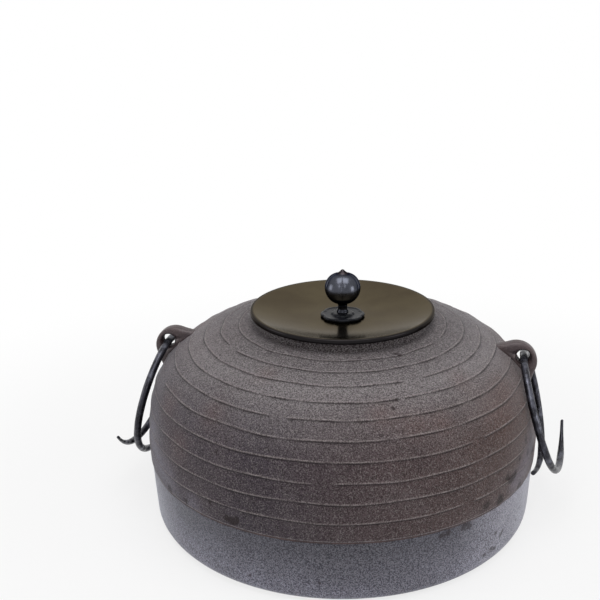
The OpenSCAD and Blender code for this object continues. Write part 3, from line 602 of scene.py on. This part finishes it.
# Grit is drawn at 0.7 to 1 mm, coarser than real moulding sand, so that it shows in the render.
finishes = {
    # Cast iron from a sand mould, browned by lacquer and heat: a gritty salt-and-pepper skin with a dull
    # sheen, rust-brown and pale clouds, and thin lines. Painted light: lighter towards the top where light
    # falls from above, painted shade next to the mouth under the lid's edge, a pale painted sheen on the
    # flanks, a painted highlight on each line and painted shade under it.
    "shell_iron": finish(
        "cast_iron_sand_skin",
        {"grit": ("noise", 0.7, 1.0, 0.6), "speck": ("noise", 0.75, 0.0, 0.5),
         "pit": ("noise", 2.0, 2.0, 0.6), "coarse": ("noise", 1.0, 1.0, 0.6),
         "top_grit": ("times", "z", "coarse"), "mottle": ("noise", 26, 5.0, 0.6),
         "cloud": ("noise", 90, 3.0, 0.5), "rust": ("mark",), "pale": ("mark",), "crest": ("mark",),
         "below": ("mark",), **STAIN_BREAK},
        "#4f4850",
        # Browner towards +X. Painted light by height: lighter towards the top, and painted shade next to the
        # mouth, under the lid's edge.
        [("x", -0.04, 0.12, 1.0, "#5c4a45"), ("z", 0.09, 0.118, 0.62, "#8a8587"),
         ("z", 0.11, 0.121, 0.75, "#8a8587"), ("z", 0.121, 0.1305, 0.85, "#453d40"),
         ("cloud", 0.45, 0.68, 0.4, "#635557"), ("mottle", 0.52, 0.76, 0.35, "#3b3236"),
         ("mottle", 0.48, 0.28, 0.25, "#7c7577"), ("rust", 0.1, 1.0, 0.25, "#6e4d45"),
         # Painted sheen: the pale coat stands in for the white room's reflection on the flanks. Painted
         # highlight: the crest coat lightens the top of each raised line.
         ("pale", 0.1, 1.0, 0.4, "#918e9f"), ("crest", 0.15, 0.8, 0.6, "#a09796"),
         ("z", 0.0449, 0.0443, 0.6, "#958d8f"), ("grit", 0.64, 0.38, 1.0, "#9a9696", "MULTIPLY"),
         ("speck", 0.56, 0.7, 0.35, "#948e8c"), ("top_grit", 0.067, 0.08, 0.35, "#a5a0a0"),
         # The below coat is painted shade under each raised line.
         ("pit", 0.42, 0.28, 0.5, "#8a8486", "MULTIPLY"), ("below", 0.1, 0.9, 0.85, "#171214"),
         ("spot", 0.22, 0.44, 0.85, "#211818")],
        ("grit", 0.3, 0.7, 0.5, 0.7),
        [("grit", 0.7, 0.5), ("pit", 0.3, 0.6), ("mottle", 0.25, 1.2)],
        {"Specular IOR Level": 0.12, "Sheen Weight": 0.18, "Sheen Roughness": 0.35,
         "Sheen Tint": GRIT_SHEEN}),
    # Cast iron of the lower casting: cooler and closely pitted, with dark spots. Painted light: lighter
    # towards its foot, where the white floor lights it, and a painted reflection of the white room on its
    # flanks, strongest on the right-hand side.
    "pan_iron": finish(
        "cast_iron_pitted",
        {"grit": ("noise", 0.75, 1.0, 0.6), "pit": ("cells", 1.9), "cloud": ("noise", 45, 4.0, 0.5),
         **STAIN_BREAK},
        "#6b6a73",
        # Painted light towards the foot, and painted reflection on the right and left flanks.
        [("z", 0.036, 0.004, 1.0, "#a1a0ae"), ("x", 0.08, 0.126, 0.85, "#dcdae8"),
         ("x", -0.09, -0.13, 0.25, "#c4c2d2"), ("cloud", 0.35, 0.65, 0.5, "#68666c"),
         ("grit", 0.62, 0.38, 1.0, "#84838a", "MULTIPLY"), ("pit", 0.3, 0.08, 0.6, "#77767c", "MULTIPLY"),
         ("spot", 0.24, 0.46, 0.85, "#261c20")],
        ("grit", 0.3, 0.7, 0.45, 0.65),
        [("grit", 0.45, 0.4), ("pit", 0.3, 0.5)],
        {"Specular IOR Level": 0.15, "Sheen Weight": 0.5, "Sheen Roughness": 0.4,
         "Sheen Tint": GRIT_SHEEN}),
    # Iron lacquer, brushed on and baked hard: red-brown and dull, with dark crusts.
    "lacquer": finish(
        "baked_iron_lacquer",
        {"crust": ("noise", 11, 4.0, 0.65), "grain": ("noise", 1.2, 2.0, 0.6)},
        "#43302f",
        [("crust", 0.4, 0.62, 0.9, "#2a2124"), ("grain", 0.45, 0.7, 0.4, "#55474a")],
        ("crust", 0.3, 0.7, 0.5, 0.75),
        [("grain", 0.5, 0.6), ("crust", 0.3, 1.0)],
        {}),
    # Cast iron of the lugs, filed smooth and handled: purple-brown, even, with a soft sheen.
    "lug_iron": finish(
        "cast_iron_filed",
        {"grain": ("noise", 1.1, 3.0, 0.6), "cloud": ("noise", 9, 4.0, 0.6)},
        "#3a2f32",
        [("cloud", 0.35, 0.65, 1.0, "#483b3b"), ("grain", 0.52, 0.75, 0.5, "#6a5e5f"),
         ("grain", 0.48, 0.3, 0.4, "#2a2224")],
        ("cloud", 0.3, 0.7, 0.36, 0.52),
        [("grain", 0.25, 0.4), ("cloud", 0.25, 1.0)],
        {"Metallic": 0.2}),
    # Forged iron, blackened in oil: hammer marks along the wire, blue-black scale, a worn metal sheen.
    "ring_iron": finish(
        "forged_iron_blackened",
        {"scale": ("noise", 5, 4.0, 0.6), "worn": ("noise", 9, 3.0, 0.6), "grain": ("noise", 1.0, 3.0, 0.5),
         "blow": ("cells", 5.0)},
        "#1d1d22",
        [("scale", 0.35, 0.65, 1.0, "#2f2f37"), ("worn", 0.5, 0.72, 0.6, "#777986"),
         ("grain", 0.55, 0.75, 0.3, "#54555f")],
        ("scale", 0.3, 0.7, 0.2, 0.38),
        [("blow", 0.4, 1.5), ("grain", 0.25, 0.3)],
        {"Metallic": 0.7}),
    # Bronze, turned on a lathe, polished and darkened in a bath: a deep olive-brown satin mirror with
    # faint turning marks, nearly black on its edge.
    "lid_bronze": finish(
        "bronze_dark_satin",
        {"radius": ("radius",), "marks": ("rings", 0.9, 2.0), "cloud": ("noise", 26, 4.0, 0.55),
         "fine": ("noise", 1.4, 2.0, 0.5)},
        "#4e4639",
        [("cloud", 0.35, 0.65, 1.0, "#585040"), ("radius", 0.05955, 0.06045, 1.0, "#232122")],
        ("cloud", 0.3, 0.7, 0.14, 0.22),
        [("marks", 0.04, 0.3), ("fine", 0.03, 0.4)],
        {"Metallic": 1.0, "Specular Tint": (0.62, 0.6, 0.57, 1.0)}),
    # Bronze, polished and stained black: a dark mirror, with painted shade that makes it blacker from the
    # bud's middle down to the neck, and a little brown on its point.
    "knob_bronze": finish(
        "bronze_black_polished",
        {"cloud": ("noise", 7, 4.0, 0.6), "fine": ("noise", 0.8, 2.0, 0.5)},
        "#3e4046",
        # Painted shade: darker from the bud's middle down to the neck.
        [("cloud", 0.35, 0.65, 1.0, "#4c4e56"), ("z", 0.1515, 0.1435, 0.75, "#1b1c20"),
         ("z", 0.1622, 0.1632, 0.8, "#2a2221")],
        ("cloud", 0.3, 0.7, 0.2, 0.28),
        [("fine", 0.04, 0.3)],
        {"Metallic": 1.0, "Specular Tint": (0.3, 0.3, 0.32, 1.0)}),
    # The same bronze on the seat, painted darker and duller as painted shade under the knob.
    "seat_bronze": finish(
        "bronze_painted_shade",
        {"cloud": ("noise", 7, 4.0, 0.6), "fine": ("noise", 0.8, 2.0, 0.5)},
        "#0c0d11",
        [("cloud", 0.35, 0.65, 1.0, "#15161b")],
        ("cloud", 0.3, 0.7, 0.24, 0.34),
        [("fine", 0.06, 0.3)],
        {"Specular IOR Level": 0.12, "Specular Tint": (0.9, 0.94, 1.0, 1.0)}),
    # Iron plate, raw and browned by water, with scale.
    "plate_iron": finish(
        "iron_plate_browned",
        {"rust": ("noise", 8, 5.0, 0.65), "grain": ("noise", 1.3, 2.0, 0.5)},
        "#403a38",
        [("rust", 0.4, 0.65, 0.9, "#5c4034"), ("grain", 0.5, 0.7, 0.5, "#2e2927")],
        ("rust", 0.3, 0.7, 0.45, 0.75),
        [("rust", 0.5, 0.8), ("grain", 0.3, 0.4)],
        {"Metallic": 0.4}),
}

RIGHT, LEFT = 1, -1    # a left-hand piece is made as a right-hand one and turned half round the Z axis
# Each new piece with the body that carries it, its finish, and the solid that it stands for.
made = [
    (shell_casting(), "kettle", "shell_iron", "upper_shell"),
    (pan_casting(), "kettle", "pan_iron", "bottom_pan"),
    (seam_bead(), "kettle", "lacquer", "seam_lacquer"),
    (lug_ear("lug_right_ear", RIGHT), "kettle", "lug_iron", "lug_right"),
    (lug_ear("lug_left_ear", LEFT), "kettle", "lug_iron", "lug_left"),
    (lug_tenon("lug_right_tenon", RIGHT), "kettle", "lug_iron", None),
    (lug_tenon("lug_left_tenon", LEFT), "kettle", "lug_iron", None),
    (ring_wire("ring_right_wire", RIGHT, 61, RIGHT_TWIST), "right_ring", "ring_iron", "ring_right"),
    (ring_wire("ring_left_wire", LEFT, 62, LEFT_TWIST), "left_ring", "ring_iron", "ring_left"),
    (lid_dish(), "lid", "lid_bronze", "lid_plate"),
    (knob_flower_seat(), "lid", "seat_bronze", "knob_seat"),
    (knob_bud(), "lid", "knob_bronze", "knob"),
]
for piece, body, look, node in made:
    piece.data.materials.append(finishes[look])
    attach(piece, body)
    if node:
        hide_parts(node)

# The pieces inside keep their solids and take a finish.
for sub in frame["record"]["subparts"]:
    solid = frame["nodes"][sub["node"]]
    if not solid.hide_render:
        solid.data.materials.clear()
        solid.data.materials.append(finishes[sub["material_slot"]])


def pale_floor():
    """Round pale floor: a grid of rings turned round the middle, flat and a hair below z = 0."""
    r = np.array([1.0, 200, 400, 700, 1200, 2200, 4000, 8000])
    hair = 0.02
    line = np.stack([r, 0 * r - hair], -1)
    return surface("floor", spun(line, 96)[:, ::-1], fans=1)


def background_rays(tree):
    """1 for rays from the camera, off a gloss or through glass, which see a white background, else 0."""
    path = add(tree, "ShaderNodeLightPath")
    seen = path["Is Camera Ray"]
    for kind in ("Is Glossy Ray", "Is Transmission Ray"):
        seen = add(tree, "ShaderNodeMath", {0: seen, 1: path[kind]}, operation="MAXIMUM")[0]
    return seen


def pale_floor_paint():
    """Matt white paper: it is lit and shaded near the kettle, and the eye sees it whiter further off."""
    material = bpy.data.materials.new("white_paper")
    tree = blank_tree(material)
    at = add(tree, "ShaderNodeTexCoord")["Object"]
    away = add(tree, "ShaderNodeVectorMath", {0: at}, operation="LENGTH")["Value"]
    far = add(tree, "ShaderNodeMapRange", {
        "Value": away, "From Min": 0.14, "From Max": 0.5, "To Min": 0.76}, interpolation_type="SMOOTHSTEP")[0]
    share = add(tree, "ShaderNodeMath", {0: far, 1: background_rays(tree)}, operation="MULTIPLY")[0]
    paper = add(tree, "ShaderNodeBsdfDiffuse", {"Color": colour("#e6e6e6")})[0]
    white = add(tree, "ShaderNodeEmission", {"Color": WHITE, "Strength": 1.0})[0]
    mixed = add(tree, "ShaderNodeMixShader", {0: share, 1: paper, 2: white})[0]
    add(tree, "ShaderNodeOutputMaterial", {"Surface": mixed})
    return material


floor = pale_floor()
floor.data.materials.append(pale_floor_paint())

# Pale room: soft light on the kettle, and white where the background is seen.
world = bpy.data.worlds.new("pale_room")
bpy.context.scene.world = world
room = blank_tree(world)
soft = add(room, "ShaderNodeBackground", {"Color": WHITE, "Strength": 0.28})[0]
white = add(room, "ShaderNodeBackground", {"Color": WHITE, "Strength": 1.0})[0]
mixed = add(room, "ShaderNodeMixShader", {0: background_rays(room), 1: soft, 2: white})[0]
add(room, "ShaderNodeOutputWorld", {"Surface": mixed})


def softbox(name, place, aim, size, power):
    """Square soft light that faces a point, in metres and watts."""
    lamp = bpy.data.lights.new(name, "AREA")
    lamp.shape = "SQUARE"
    lamp.size = size
    lamp.energy = power
    holder = bpy.data.objects.new(name, lamp)
    holder.location = place
    holder.rotation_euler = (Vector(aim) - Vector(place)).to_track_quat("-Z", "Y").to_euler()
    bpy.context.scene.collection.objects.link(holder)


softbox("overhead_light", (0.05, -0.25, 1.3), aim=(0, 0, 0.1), size=1.1, power=12.0)
softbox("window_light", (0.1, -2.1, 1.4), aim=(0, 0, 0.1), size=0.7, power=4.5)
softbox("left_light", (-1.5, -0.3, 0.35), aim=(0, 0, 0.05), size=0.7, power=4.5)
softbox("right_light", (1.5, -0.5, 0.3), aim=(0, 0, 0.05), size=0.7, power=6.0)

# The camera's distance from the kettle's axis and height above its foot, in metres, how far it looks
# down, and how far right of the middle of the picture the kettle stands, in pixels.
CAMERA_AWAY, CAMERA_UP, CAMERA_DOWN = 0.570, 0.33885, np.radians(18.87)
KETTLE_RIGHT, PICTURE_W = 42.6, 600
camera = bpy.data.cameras.new("camera")
camera.sensor_width = 36
camera.lens = 54
camera.shift_x = -KETTLE_RIGHT / PICTURE_W
stand = bpy.data.objects.new("camera", camera)
front = np.array([np.cos(FRONT), np.sin(FRONT), 0])
stand.location = CAMERA_AWAY * front + [0, 0, CAMERA_UP]
view = -np.cos(CAMERA_DOWN) * front - [0, 0, np.sin(CAMERA_DOWN)]
stand.rotation_euler = Vector(view).to_track_quat("-Z", "Y").to_euler()
bpy.context.scene.collection.objects.link(stand)
bpy.context.scene.camera = stand
bpy.context.scene.view_settings.view_transform = "Standard"
